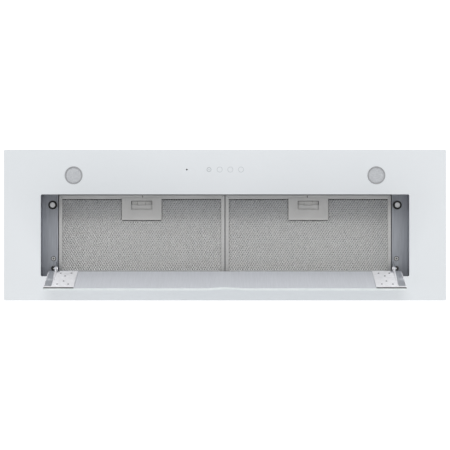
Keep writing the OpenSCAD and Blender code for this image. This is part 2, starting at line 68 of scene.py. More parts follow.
class Nodes:
    """A material around one Principled shader, with methods that add texture nodes to it."""

    def __init__(self, name):
        self.mat = bpy.data.materials.new(name)
        self.mat.use_nodes = True
        self.tree = self.mat.node_tree
        self.tree.nodes.clear()
        self.out = self.add("ShaderNodeOutputMaterial")
        self.bsdf = self.add("ShaderNodeBsdfPrincipled")
        self.link(self.bsdf, "BSDF", self.out, "Surface")
        self.coords = self.add("ShaderNodeTexCoord")

    def add(self, kind, **settings):
        made = self.tree.nodes.new(kind)
        for key, value in settings.items():
            setattr(made, key, value)
        return made

    def link(self, a, a_out, b, b_in):
        self.tree.links.new(a.outputs[a_out], b.inputs[b_in])

    def set(self, **values):
        """Values on the shader's own sockets, with underscores for the spaces in their names."""
        for key, value in values.items():
            self.bsdf.inputs[key.replace("_", " ")].default_value = value

    def scaled(self, scale):
        """Object coordinates stretched by scale, for a texture's Vector input."""
        mapping = self.add("ShaderNodeMapping")
        mapping.inputs["Scale"].default_value = scale
        self.link(self.coords, "Object", mapping, "Vector")
        return mapping

    def noise(self, scale, detail=3.0, stretch=(1, 1, 1)):
        mapping = self.scaled(stretch)
        tex = self.add("ShaderNodeTexNoise")
        tex.inputs["Scale"].default_value = scale
        tex.inputs["Detail"].default_value = detail
        self.link(mapping, "Vector", tex, "Vector")
        return tex

    def ramp(self, source, output, low, high, start=0.3, end=0.7):
        made = self.add("ShaderNodeValToRGB")
        made.color_ramp.elements[0].position = start
        made.color_ramp.elements[1].position = end
        made.color_ramp.elements[0].color = low
        made.color_ramp.elements[1].color = high
        self.link(source, output, made, "Fac")
        return made

    def vary_colour(self, tex, output, low, high, start=0.3, end=0.7):
        self.link(self.ramp(tex, output, low, high, start, end), "Color", self.bsdf, "Base Color")

    def vary_roughness(self, tex, output, low, high):
        made = self.add("ShaderNodeMapRange")
        made.inputs["To Min"].default_value = low
        made.inputs["To Max"].default_value = high
        self.link(tex, output, made, "Value")
        self.link(made, "Result", self.bsdf, "Roughness")

    def bump(self, tex, output, distance, strength=0.5):
        made = self.add("ShaderNodeBump")
        made.inputs["Strength"].default_value = strength
        made.inputs["Distance"].default_value = distance
        self.link(tex, output, made, "Height")
        self.link(made, "Normal", self.bsdf, "Normal")


def grey(value, tint=(1.0, 1.0, 1.0)):
    return (value * tint[0], value * tint[1], value * tint[2], 1.0)


def white_glass():
    """Back-painted glass, with the faint waviness of a tempered sheet."""
    m = Nodes("white_glass")
    m.set(Roughness=0.06, IOR=1.5)
    m.vary_colour(m.noise(3, 2), "Fac", (0.735, 0.765, 0.79, 1), (0.765, 0.79, 0.815, 1))
    m.bump(m.noise(9, 1, (1, 0.35, 1)), "Fac", 0.00012, 0.25)
    return m.mat


def glass_edge():
    """Ground edge of the glass, a little greener than its face."""
    m = Nodes("glass_edge")
    m.set(Roughness=0.22, IOR=1.5)
    m.vary_colour(m.noise(60, 2), "Fac", (0.71, 0.765, 0.77, 1), (0.79, 0.83, 0.84, 1))
    m.bump(m.noise(900, 2, (1, 1, 0.2)), "Fac", 0.00003)
    return m.mat


def brushed(name, low, high, rough, along, tint=COOL_TINT, anisotropy=0.45):
    """Metal brushed along one axis: 0 for X, 1 for Y, 2 for Z."""
    stretch = [1.0, 1.0, 1.0]
    stretch[along] = 0.02
    m = Nodes(name)
    m.set(Metallic=1.0, Anisotropic=anisotropy)
    streaks = m.noise(900, 3, stretch)
    m.vary_colour(streaks, "Fac", grey(low, tint), grey(high, tint))
    m.vary_roughness(m.noise(420, 2, stretch), "Fac", rough * 0.75, rough * 1.25)
    m.bump(streaks, "Fac", 0.00002, 0.35)
    return m.mat


def galvanised():
    """Zinc-coated sheet with its spangle."""
    m = Nodes("galvanised")
    m.set(Metallic=1.0)
    warp = m.noise(140, 2)
    blend = m.add("ShaderNodeMix", data_type="VECTOR")
    blend.inputs["Factor"].default_value = 0.02
    vector_a, vector_b, vector_result = 4, 5, 1
    m.link(m.coords, "Object", blend, vector_a)
    m.link(warp, "Color", blend, vector_b)
    cells = m.add("ShaderNodeTexVoronoi")
    cells.inputs["Scale"].default_value = 150
    m.link(blend, vector_result, cells, "Vector")
    m.vary_colour(cells, "Color", grey(0.40, ZINC_TINT), grey(0.52, ZINC_TINT), 0.1, 0.9)
    m.vary_roughness(cells, "Color", 0.40, 0.52)
    m.bump(m.noise(26, 4), "Fac", 0.0003, 0.2)
    return m.mat


def satin_skin():
    """Pale satin sheet inside the panel, finely brushed along X."""
    m = Nodes("satin_skin")
    m.set(Metallic=0.15)
    streaks = m.noise(1200, 2, (1, 0.012, 0.012))
    m.vary_colour(streaks, "Fac", (0.555, 0.57, 0.605, 1), (0.615, 0.63, 0.67, 1))
    m.vary_roughness(m.noise(160, 3), "Fac", 0.46, 0.55)
    m.bump(streaks, "Fac", 0.00001, 0.2)
    return m.mat


def bright_zinc(name, low, high, metallic=1.0, rough=0.3):
    """Bright plated steel with a faint cloudiness."""
    m = Nodes(name)
    m.set(Metallic=metallic)
    m.vary_colour(m.noise(120, 4), "Fac", grey(low, COOL_TINT), grey(high, COOL_TINT))
    m.vary_roughness(m.noise(350, 3), "Fac", rough * 0.8, rough * 1.2)
    m.bump(m.noise(240, 2), "Fac", 0.00001, 0.3)
    return m.mat


def mesh_metal():
    """Bare aluminium strands of the filter mesh."""
    m = Nodes("mesh_metal")
    m.set(Metallic=0.7)
    m.vary_colour(m.noise(240, 3), "Fac", grey(0.86, MESH_TINT), grey(1.0, MESH_TINT))
    m.vary_roughness(m.noise(800, 2), "Fac", 0.26, 0.42)
    return m.mat


def mesh_depth():
    """Inner layers of a filter pack: crossed foil strands in shade."""
    m = Nodes("mesh_depth")
    m.set(Metallic=0.5, Roughness=0.55)
    cells = m.add("ShaderNodeTexVoronoi", feature="DISTANCE_TO_EDGE")
    cells.inputs["Scale"].default_value = 330
    m.link(m.scaled((1, 1.1, 1)), "Vector", cells, "Vector")
    m.vary_colour(cells, "Distance", grey(0.60), grey(0.20), 0.02, 0.22)
    m.bump(cells, "Distance", 0.0008, 0.9)
    return m.mat


def moulded(name, colour, rough=0.42, grain=900, depth=0.00005, specular=0.5):
    """Moulded plastic or rubber with a fine grain."""
    m = Nodes(name)
    m.set(Specular_IOR_Level=specular)
    lighter = tuple(min(1, channel * 1.07 + 0.002) for channel in colour) + (1,)
    m.vary_colour(m.noise(35, 3), "Fac", tuple(colour) + (1,), lighter)
    m.vary_roughness(m.noise(260, 2), "Fac", rough * 0.88, rough * 1.12)
    m.bump(m.noise(grain, 2), "Fac", depth, 0.45)
    return m.mat


def frosted():
    """Lamp diffuser: translucent and pebbled."""
    m = Nodes("frosted_lens")
    m.set(Roughness=0.4, IOR=1.49, Subsurface_Weight=0.25)
    m.bsdf.inputs["Subsurface Radius"].default_value = (0.004, 0.004, 0.004)
    cells = m.noise(420, 3)
    m.vary_colour(cells, "Fac", (0.47, 0.485, 0.51, 1), (0.60, 0.615, 0.635, 1))
    m.bump(cells, "Fac", 0.0003, 0.5)
    return m.mat


def circuit_board():
    """Green board with paler tracks."""
    m = Nodes("circuit_board")
    m.set(Roughness=0.35)
    tracks = m.add("ShaderNodeTexBrick")
    tracks.inputs["Scale"].default_value = 260
    tracks.inputs["Color1"].default_value = (0.02, 0.16, 0.06, 1)
    tracks.inputs["Color2"].default_value = (0.025, 0.20, 0.08, 1)
    tracks.inputs["Mortar"].default_value = (0.10, 0.32, 0.14, 1)
    m.link(m.scaled((1, 1, 1)), "Vector", tracks, "Vector")
    m.link(tracks, "Color", m.bsdf, "Base Color")
    return m.mat


GLASS = white_glass()
GLASS_EDGE = glass_edge()
LINER = brushed("brushed_liner", 0.37, 0.50, rough=0.48, along=1, tint=(0.95, 0.99, 1.075), anisotropy=0.3)
STRIP = brushed("plate_strip", 0.76, 0.86, rough=0.42, along=1, tint=(0.98, 1.0, 1.03))
RAIL = brushed("filter_rail", 0.54, 0.67, rough=0.44, along=0, tint=(1, 1, 0.99))
ZINC = galvanised()
SKIN = satin_skin()
BRIGHT = bright_zinc("bright_zinc", 0.72, 0.84)
PLATE = bright_zinc("bracket_plate", 0.80, 0.92, metallic=0.2, rough=0.42)
MESH = mesh_metal()
DEPTH = mesh_depth()
HANDLE = moulded("handle_plastic", (0.62, 0.615, 0.60))
BLACK = moulded("black_plastic", (0.018, 0.018, 0.019), rough=0.38)
RUBBER = moulded("black_rubber", (0.010, 0.010, 0.011), rough=0.62, grain=500, specular=0.2)
MOTOR = moulded("motor_paint", (0.035, 0.036, 0.038), rough=0.3, grain=300, depth=0.0001)
WHITE_PLASTIC = moulded("white_plastic", (0.78, 0.78, 0.75), rough=0.3)
FOAM = moulded("foam_tape", (0.72, 0.72, 0.70), rough=0.8, grain=400, depth=0.0002)
LENS = frosted()
BEZEL = moulded("lamp_bezel", (0.36, 0.365, 0.38), rough=0.3)
PRINT = moulded("printed_grey", (0.50, 0.53, 0.55), rough=0.2)
BOARD = circuit_board()

SLOT_MATERIAL = {
    "white_glass": GLASS, "zinc_steel": ZINC, "brushed_steel": LINER, "foam_tape": FOAM,
    "bright_steel": BRIGHT, "motor_black": MOTOR, "black_rubber": RUBBER, "white_plastic": WHITE_PLASTIC,
    "board_green": BOARD, "black_plastic": BLACK, "frosted_lens": LENS, "grey_plastic": HANDLE,
    "satin_skin": SKIN, "filter_aluminium": RAIL, "filter_mesh": MESH,
}


# ---------------------------------------------------------------- mesh helpers

# Radius at which a solid turned profile meets its axis, in millimetres.
AXIS_R = 0.02


def box_mm(node):
    """Lowest and highest corner of a CAD node, in millimetres."""
    low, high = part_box(node)
    return low / MM, high / MM


def shift(x, y, z):
    """Matrix that moves by a distance given in millimetres."""
    return Matrix.Translation(Vector((x, y, z)) * MM)


def circle(radius, count, start=0.0):
    """Points evenly round a circle."""
    angles = [start + 2 * math.pi * i / count for i in range(count)]
    return [(radius * math.cos(angle), radius * math.sin(angle)) for angle in angles]


def rectangle(xs, ys):
    """Outline of a rectangle between two places on each axis."""
    return [(xs[0], ys[0]), (xs[1], ys[0]), (xs[1], ys[1]), (xs[0], ys[1])]


def add_ring(bm, points, z, centre=(0, 0)):
    """A ring of vertices through (x, y) points round centre, at height z, in millimetres."""
    return [bm.verts.new(((centre[0] + x) * MM, (centre[1] + y) * MM, z * MM)) for x, y in points]


def join_rings(bm, rings, closed=False):
    """Faces between neighbouring rings. A closed run joins the last to the first, an open one is capped."""
    following = rings[1:] + rings[:1] if closed else rings[1:]
    for a, b in zip(rings, following):
        for i in range(len(a)):
            j = (i + 1) % len(a)
            bm.faces.new((a[i], a[j], b[j], b[i]))
    if not closed:
        bm.faces.new(rings[0])
        bm.faces.new(rings[-1])


def from_bmesh(name, bm, material):
    """A new object from the mesh, which is used up."""
    mesh = bpy.data.meshes.new(name)
    bmesh.ops.recalc_face_normals(bm, faces=bm.faces)
    bm.to_mesh(mesh)
    bm.free()
    mesh.materials.append(material)
    obj = bpy.data.objects.new(name, mesh)
    bpy.context.scene.collection.objects.link(obj)
    return obj


def apply_modifiers(obj):
    graph = bpy.context.evaluated_depsgraph_get()
    mesh = bpy.data.meshes.new_from_object(obj.evaluated_get(graph))
    obj.modifiers.clear()
    obj.data = mesh


def smooth_shade(obj, degrees=40):
    """Smooth shading that keeps flat faces flat and edges above the angle sharp."""
    mesh = obj.data
    mesh.polygons.foreach_set("use_smooth", [True] * len(mesh.polygons))
    bm = bmesh.new()
    bm.from_mesh(mesh)
    limit = math.radians(degrees)
    for edge in bm.edges:
        edge.smooth = len(edge.link_faces) == 2 and edge.calc_face_angle(0.0) < limit
    bm.to_mesh(mesh)
    bm.free()
    weighted = obj.modifiers.new("flat_faces", "WEIGHTED_NORMAL")
    weighted.keep_sharp = True
    weighted.weight = 100
    apply_modifiers(obj)


def lathe(name, profile, centre, segments, material, closed=True):
    """A profile of (radius, height) points turned about Z. Heights count from centre, in millimetres."""
    bm = bmesh.new()
    rings = [add_ring(bm, circle(radius, segments), centre[2] + height, centre) for radius, height in profile]
    join_rings(bm, rings, closed)
    obj = from_bmesh(name, bm, material)
    smooth_shade(obj, 50)
    return obj


def prism(name, outline, zs, material):
    """An outline of (x, y) points raised between two heights, in millimetres."""
    bm = bmesh.new()
    lower = add_ring(bm, outline, zs[0])
    upper = add_ring(bm, outline, zs[1])
    bm.faces.new(lower)
    bm.faces.new(upper)
    for i in range(len(outline)):
        j = (i + 1) % len(outline)
        bm.faces.new((lower[i], lower[j], upper[j], upper[i]))
    return from_bmesh(name, bm, material)


def soft_bar(name, xs, ys, zs, radius, material):
    """A bar with rounded edges, between two places on each axis, in millimetres."""
    bar = prism(name, rectangle(xs, ys), zs, material)
    bevel = bar.modifiers.new("rounded", "BEVEL")
    bevel.width = radius * MM
    bevel.segments = 3
    apply_modifiers(bar)
    smooth_shade(bar)
    return bar


def place(obj, body, slot, *nodes):
    """Ride a piece on a body, in place of any CAD nodes named. The slot is not used."""
    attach(obj, body)
    if nodes:
        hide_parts(*nodes)


# ---------------------------------------------------------------- camera, light and stage

CAMERA_DISTANCE = 4.6
VIEW_WIDTH = 0.9157
VIEW_CENTRE_Y = -0.0002
SENSOR = 36.0
CLIP_END = 60
FLOOR_Z = -6.0
FLOOR_HALF_SIZE = 30
WORLD_STRENGTH = 1.18


def make_camera():
    """Looks straight up at the fascia from below, with the wall at the bottom of the view."""
    data = bpy.data.cameras.new("camera")
    data.sensor_width = SENSOR
    data.lens = SENSOR * CAMERA_DISTANCE / VIEW_WIDTH
    data.clip_end = CLIP_END
    camera = bpy.data.objects.new("camera", data)
    bpy.context.scene.collection.objects.link(camera)
    glass_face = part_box("fascia_glass")[0].z
    camera.location = (0, VIEW_CENTRE_Y, glass_face - CAMERA_DISTANCE)
    camera.rotation_euler = (math.pi, 0, 0)
    bpy.context.scene.camera = camera


def area_light(name, location, target, size, power, colour=(1, 1, 1)):
    """A rectangular soft light of a size in metres, aimed at target."""
    data = bpy.data.lights.new(name, "AREA")
    data.shape = "RECTANGLE"
    data.size, data.size_y = size
    data.energy = power
    data.color = colour
    lamp = bpy.data.objects.new(name, data)
    bpy.context.scene.collection.objects.link(lamp)
    lamp.location = location
    aim = Vector(target) - Vector(location)
    lamp.rotation_euler = aim.to_track_quat("-Z", "Y").to_euler()


def make_stage():
    """Pale floor, far enough below the hood to stay white in the view from underneath."""
    bm = bmesh.new()
    bmesh.ops.create_grid(bm, x_segments=1, y_segments=1, size=FLOOR_HALF_SIZE)
    paint = Nodes("floor")
    paint.set(Roughness=0.8)
    paint.vary_colour(paint.noise(0.6, 2), "Fac", grey(0.60), grey(0.64))
    floor = from_bmesh("floor", bm, paint.mat)
    floor.location.z = FLOOR_Z


def make_world():
    """Soft white surround, a little darker from below."""
    world = bpy.data.worlds.new("studio")
    bpy.context.scene.world = world
    world.use_nodes = True
    tree = world.node_tree
    tree.nodes.clear()
    out = tree.nodes.new("ShaderNodeOutputWorld")
    background = tree.nodes.new("ShaderNodeBackground")
    coords = tree.nodes.new("ShaderNodeTexCoord")
    split = tree.nodes.new("ShaderNodeSeparateXYZ")
    ramp = tree.nodes.new("ShaderNodeValToRGB")
    ramp.color_ramp.elements[0].position = 0.0
    ramp.color_ramp.elements[0].color = grey(0.72)
    ramp.color_ramp.elements[1].position = 0.85
    ramp.color_ramp.elements[1].color = grey(1.0)
    tree.links.new(coords.outputs["Generated"], split.inputs["Vector"])
    tree.links.new(split.outputs["Z"], ramp.inputs["Fac"])
    tree.links.new(ramp.outputs["Color"], background.inputs["Color"])
    background.inputs["Strength"].default_value = WORLD_STRENGTH
    tree.links.new(background.outputs["Background"], out.inputs["Surface"])


make_camera()
make_stage()
make_world()
area_light("key", (0, -2.7, -3.0), (0, 0, 0), (2.4, 0.45), 24, (1.0, 0.995, 0.98))
area_light("panel_fill", (0, -4.2, -1.1), (0, 0.1, -0.06), (3.2, 0.5), 62, (0.96, 0.98, 1.0))
area_light("rear_fill", (0, 3.6, -2.0), (0, 0.12, -0.05), (3.0, 0.9), 48)
bpy.context.scene.view_settings.view_transform = "Standard"


# ---------------------------------------------------------------- lamps and touch keys

# Heights of a print's face and back, from the face of the glass.
PRINT_FACE = -0.03
PRINT_BACK = 0.05
KEY_PITCH = 21.7
KEY_COUNT = 4

LAMP_RIM = [(15.5, 1.5), (15.5, 0.35), (15.8, 0.05), (17.3, 0), (17.8, 0.35), (17.8, 4.2), (20.4, 4.3),
            (20.4, 5.1), (15.5, 5.1)]
LENS_R = 15.4
LENS_FACE = 0.3
LENS_TOP = 5.0
LENS_STEPS = 14
SENSOR_DOME = [(AXIS_R, 0.02), (0.9, 0.06), (1.45, 0.2), (1.68, 0.5), (1.68, 1.2), (1.45, 1.3), (1.45, 9.2),
               (AXIS_R, 9.2)]


def make_lamp(side):
    """Frosted lens, ribbed in rings and slightly domed, in a slim satin rim."""
    node = "lamp_lens_" + side
    low, high = box_mm(node)
    centre = ((low.x + high.x) / 2, (low.y + high.y) / 2, low.z)
    place(lathe(node + "_rim", LAMP_RIM, centre, 96, BEZEL), "root", "frosted_lens", node)
    lens = [(AXIS_R, LENS_FACE)]
    for i in range(1, LENS_STEPS):
        share = i / LENS_STEPS
        rib = 0.16 * (i % 2)
        lens.append((LENS_R * share, LENS_FACE + rib + 0.35 * share ** 2))
    lens += [(LENS_R, 0.9), (LENS_R, LENS_TOP), (AXIS_R, LENS_TOP)]
    place(lathe(node + "_lens", lens, centre, 96, LENS, closed=False), "root", "frosted_lens")


def printed(inner, outer):
    """Profile of a ring printed on the glass."""
    return [(inner, PRINT_FACE), (outer, PRINT_FACE), (outer, PRINT_BACK), (inner, PRINT_BACK)]


def make_key_prints():
    """Four grey key rings, the sensor's dome beside them, and the dot of the on key."""
    face = box_mm("fascia_glass")[0].z
    sensor_low, sensor_high = box_mm("sensor_lens")
    sensor_x = (sensor_low.x + sensor_high.x) / 2
    key_y = (sensor_low.y + sensor_high.y) / 2
    key_xs = [(i - (KEY_COUNT - 1) / 2) * KEY_PITCH for i in range(KEY_COUNT)]
    for i, x in enumerate(key_xs):
        outer, width = (4.9, 1.6) if i == 0 else (5.7, 0.9)
        ring = lathe("key_ring_%d" % (i + 1), printed(outer - width, outer), (x, key_y, face), 64, PRINT)
        place(ring, "root", "white_glass")
    dome = lathe("sensor_dome", SENSOR_DOME, (sensor_x, key_y, face), 32, BLACK, closed=False)
    place(dome, "root", "black_plastic", "sensor_lens")
    dot = lathe("key_dot", printed(AXIS_R, 1.1), (key_xs[0], key_y, face), 32, PRINT, closed=False)
    place(dot, "root", "white_glass")


# ---------------------------------------------------------------- aspiration panel

# Details on the panel are drawn with the panel closed, then turned open about its hinge.
PANEL_FRONT = -53
PLATE_WIDTH = 61
PLATE_REAR = 84
LEAF_LENGTH = 142
LEAF_OVERHANG = 1.2
# Dark dome sunk in each hole of a hinge leaf: painted shade for the depth of the hole.
HOLE_SHADE = [(AXIS_R, 1.5), (1.0, 1.36), (1.6, 0.98), (1.9, 0.3), (1.9, -0.35), (AXIS_R, -0.35)]
# Distance of each dark dome of painted shade from the panel's end, and its share of the leaf's length from
# the hinge.
HOLE_SHADE_PLACES = [(26.5, 0.137), (48.5, 0.137), (26.5, 0.83), (48.5, 0.83), (37.5, 0.317), (37.5, 0.641)]


def place_on_panel(piece, slot):
    """Turn a piece drawn on the closed panel to the open rest position, and ride it there."""
    hinge = JOINTS["panel_hinge"]
    pivot = Vector(hinge["pos_m"])
    swing = Matrix.Rotation(math.radians(-hinge["range_deg"][0]), 4, "X")
    piece.data.transform(Matrix.Translation(pivot) @ swing @ Matrix.Translation(-pivot))
    place(piece, "panel", slot)


def make_leaf_hole_shades():
    """Dark domes sunk in the six holes of each hinge leaf: painted shade for the depth of the holes."""
    panel_right = box_mm("panel_glass")[1].x
    leaf_rear = JOINTS["panel_hinge"]["pos_m"][1] / MM + LEAF_OVERHANG
    for side, sign in SIDES:
        for i, (inset, share) in enumerate(HOLE_SHADE_PLACES):
            centre = (sign * (panel_right - inset), leaf_rear - share * LEAF_LENGTH, 0)
            hole_shade = lathe("leaf_hole_shade_%s_%d" % (side, i + 1), HOLE_SHADE, centre, 20, BLACK, closed=False)
            place_on_panel(hole_shade, "bright_steel")


def make_leaf_hems():
    """Bright hem folded along the front and outer edges of each end plate, and before it a dark strip of
    painted shade where the plate's end face is in shadow.
    """
    panel_right = box_mm("panel_glass")[1].x
    inner, outer = panel_right - PLATE_WIDTH - 0.2, panel_right - 0.4
    hem_ys = (PANEL_FRONT + 1.6, PANEL_FRONT + 2.8)
    shade_line_ys = (PANEL_FRONT + 0.4, PANEL_FRONT + 1.7)
    side_ys = (PANEL_FRONT + 2.6, PLATE_REAR)
    for side, sign in SIDES:
        x0, x1 = sorted((sign * inner, sign * outer))
        hem = soft_bar("leaf_hem_" + side, (x0, x1), hem_ys, (-0.9, 2.0), 0.45, PLATE)
        # Dark strip of painted shade where the plate's end face is in shadow.
        joint = soft_bar("leaf_shade_line_" + side, (x0 + 0.5, x1 - 0.5), shade_line_ys, (-2.1, -0.5), 0.2, RUBBER)
        side_xs = sorted((sign * (panel_right - 1.5), sign * (panel_right - 0.1)))
        side_hem = soft_bar("leaf_side_hem_" + side, side_xs, side_ys, (-1.1, -0.1), 0.4, PLATE)
        place_on_panel(hem, "bright_steel")
        place_on_panel(joint, "black_rubber")
        place_on_panel(side_hem, "bright_steel")


# ---------------------------------------------------------------- hinge bases and catches

HINGE_SCREW_X = 353
HINGE_SCREW_FRONT = 69
HINGE_SCREW_REAR = 89
# Dark ring round a screw head: painted shadow round the head.
SCREW_SHADOW_RING = [(4.0, 1.95), (4.9, 1.9), (5.1, 1.7), (4.9, 1.5), (4.0, 1.4)]
# Dark disc in a screw's recess: painted shade.
SCREW_RECESS_SHADE = [(AXIS_R, -0.08), (1.4, -0.08), (1.7, 0.05), (1.7, 0.6), (AXIS_R, 0.6)]
SCREW_COLLAR = [(1.3, 0.1), (1.7, -0.3), (3.3, -0.3), (3.8, 0.1), (3.8, 0.5), (1.3, 0.5)]
CATCH_MOUTH = [(5.05, 0.35), (5.3, 0.02), (8.7, 0.02), (9.0, 0.3), (9.0, 0.8), (5.7, 0.8), (5.7, 0.6)]


def make_screw_shadow_rings():
    """Dark rings round the heads of the hinge bases' screws: painted shadow round the heads."""
    head = box_mm("hinge_base_screws")[0].z
    for side, sign in SIDES:
        for y in (HINGE_SCREW_FRONT, HINGE_SCREW_REAR):
            centre = (sign * HINGE_SCREW_X, y, head)
            shadow_ring = lathe("screw_shadow_ring_%s_%d" % (side[0], y), SCREW_SHADOW_RING, centre, 40, RUBBER)
            place(shadow_ring, "root", "black_rubber")


def make_screw_details():
    """Dark disc of painted shade in the recess of the front screw of each hinge base, and a dark collar on
    the rear one.
    """
    head = box_mm("hinge_base_screws")[0].z
    for side, sign in SIDES:
        x = sign * HINGE_SCREW_X
        front, rear = (x, HINGE_SCREW_FRONT, head), (x, HINGE_SCREW_REAR, head)
        recess_shade = lathe("screw_recess_shade_" + side, SCREW_RECESS_SHADE, front, 32, RUBBER, closed=False)
        place(recess_shade, "root", "black_rubber")
        place(lathe("screw_collar_" + side, SCREW_COLLAR, rear, 40, RUBBER), "root", "black_rubber")


def make_catch_mouths():
    """Black mouth of each catch, closing round its magnet."""
    cup = box_mm("catch_post_left")[0].z
    for side, _ in SIDES:
        low, high = box_mm("catch_magnet_" + side)
        centre = ((low.x + high.x) / 2, (low.y + high.y) / 2, cup)
        place(lathe("catch_mouth_" + side, CATCH_MOUTH, centre, 64, RUBBER), "root", "black_rubber")


# ---------------------------------------------------------------- filters

RAIL_WIDTH = 7
FRONT_RAIL_WIDTH = 5.5
RAIL_SLOT_X = 169.6
# The handle stands this far below its filter, and its finger pocket is this deep from the filter's face.
HANDLE_STANDS = 1.2
POCKET_DEPTH = 4.4
POCKET_HALF_WIDTH = 21.5
POCKET_FRONT = -49.9
# Rear end of the dark strip of painted shade round the finger pocket.
POCKET_SHADE_REAR = -42.2
SILL_YS = (-32.7, -31.35)

# Repeat of the expanded metal along the hood and towards the wall.
MESH_CELL = (4.98, 7.74)
STRAND_THICK = 0.4
STRAND_LEAN = 0.22

DIMPLE_R = 1.3
DIMPLE_SIDES = 8
# Share of the dimple's radius, and how far below the frame's face.
DIMPLE = [(1.0, -0.8), (1.0, 0.0), (0.86, 0.22), (0.45, 0.42)]


def make_handle_details():
    """Dark strip of painted shade round the finger pocket of each filter handle, where its edges are in
    shade, and the sill that closes its rear end.
    """
    for side, _ in SIDES:
        node = "filter_handle_" + side
        low, high = box_mm(node)
        centre = (low.x + high.x) / 2
        face = low.z + HANDLE_STANDS
        ceiling = face + POCKET_DEPTH
        x0, x1 = centre - POCKET_HALF_WIDTH, centre + POCKET_HALF_WIDTH
        inner_x0, inner_x1, inner_front = x0 + 1.1, x1 - 1.1, POCKET_FRONT + 0.9
        outline = [(x0, POCKET_SHADE_REAR), (x0, POCKET_FRONT), (x1, POCKET_FRONT), (x1, POCKET_SHADE_REAR),
                   (inner_x1, POCKET_SHADE_REAR), (inner_x1, inner_front), (inner_x0, inner_front),
                   (inner_x0, POCKET_SHADE_REAR)]
        # Painted shade round the pocket's edges.
        pocket_shade = prism("slot_pocket_shade_" + side, outline, (ceiling - 0.3, ceiling - 0.1), RUBBER)
        place(pocket_shade, "filter_" + side, "black_rubber")
        sill_xs, sill_zs = (x0 + 0.15, x1 - 0.15), (face - 0.8, face + 1.2)
        sill = soft_bar("slot_sill_" + side, sill_xs, SILL_YS, sill_zs, 0.2, HANDLE)
        place(sill, "filter_" + side, SLOT_OF[node])


def make_front_lips(side):
    """Inner lip of a filter's front rail on both sides of the handle, with a dark strip of painted shadow
    behind it, where the lip shades the mesh.
    """
    node = "filter_frame_" + side
    low, high = box_mm(node)
    grip_low, grip_high = box_mm("filter_handle_" + side)
    lip = low.y + FRONT_RAIL_WIDTH - 0.1
    lip_ys, lip_zs = (lip, lip + 2.6), (low.z + 0.02, low.z + 0.42)
    shade_line_ys, shade_line_zs = (lip + 2.5, lip + 3.7), (low.z + 0.1, low.z + 0.3)
    end = RAIL_WIDTH - 0.2
    spans = ((low.x + end, grip_low.x - 0.1), (grip_high.x + 0.1, high.x - end))
    for k, xs in enumerate(spans):
        bar = soft_bar("front_lip_%s_%d" % (side, k), xs, lip_ys, lip_zs, 0.15, RAIL)
        place(bar, "filter_" + side, SLOT_OF[node])
        # Painted shadow of the lip on the mesh.
        joint = prism("front_shade_line_%s_%d" % (side, k), rectangle(xs, shade_line_ys), shade_line_zs, RUBBER)
        place(joint, "filter_" + side, "black_rubber")


def make_handle_shadow_line(side):
    """Dark strip of painted shadow along the rear edge of a filter's handle, where the handle shades the
    mesh.
    """
    face = box_mm("filter_frame_" + side)[0].z
    low, high = box_mm("filter_handle_" + side)
    outline = rectangle((low.x + 1.5, high.x - 1), (high.y - 0.1, high.y + 0.95))
    # Painted shadow of the handle on the mesh.
    joint = prism("handle_shadow_line_" + side, outline, (face + 0.1, face + 0.4), RUBBER)
    place(joint, "filter_" + side, "black_rubber")


def make_rear_dimples(side):
    """Row of dimples along a filter's rear edge, one to each cell of the mesh."""
    node = "filter_frame_" + side
    low, high = box_mm(node)
    bm = bmesh.new()
    y = high.y - RAIL_WIDTH - 1.4
    for i in range(1, int((high.x - low.x - 8) / MESH_CELL[0])):
        centre = (low.x + 4 + i * MESH_CELL[0], y)
        join_rings(bm, [add_ring(bm, circle(DIMPLE_R * share, DIMPLE_SIDES), low.z - drop, centre)
                        for share, drop in DIMPLE])
    dimples = from_bmesh("rear_dimples_" + side, bm, PLATE)
    smooth_shade(dimples)
    place(dimples, "filter_" + side, SLOT_OF[node])


def make_filter_details():
    """Lips, dark strips of painted shadow and dimples of both filters."""
    for side, _ in SIDES:
        make_front_lips(side)
        make_handle_shadow_line(side)
        make_rear_dimples(side)


def make_rail_slot_shades():
    """The small slot in each filter's front rail, in front of its latch, drawn as a black patch of painted
    shade.
    """
    for side, sign in SIDES:
        low = box_mm("filter_frame_" + side)[0]
        x = sign * RAIL_SLOT_X
        outline = rectangle((x - 0.7, x + 0.7), (low.y + 0.9, low.y + 4.9))
        # Black patch of painted shade in the slot.
        slot = prism("rail_slot_shade_" + side, outline, (low.z - 0.03, low.z + 0.3), BLACK)
        place(slot, "filter_" + side, "filter_aluminium")


def make_mitres():
    """Fine dark mitre joints at the filter frames' corners."""
    for side, _ in SIDES:
        low, high = box_mm("filter_frame_" + side)
        corners = ((low.x, low.y, 1, 1), (high.x, low.y, -1, 1),
                   (low.x, high.y, 1, -1), (high.x, high.y, -1, -1))
        for k, (x, y, sx, sy) in enumerate(corners):
            depth = FRONT_RAIL_WIDTH if sy > 0 else RAIL_WIDTH
            outline = [(x + sx * 0.3, y + sy * 0.1), (x + sx * RAIL_WIDTH, y + sy * (depth - 0.25)),
                       (x + sx * (RAIL_WIDTH - 0.2), y + sy * depth), (x + sx * 0.1, y + sy * 0.3)]
            cut = prism("mitre_%s_%d" % (side, k), outline, (low.z - 0.02, low.z + 0.2), BLACK)
            place(cut, "filter_" + side, "filter_aluminium")


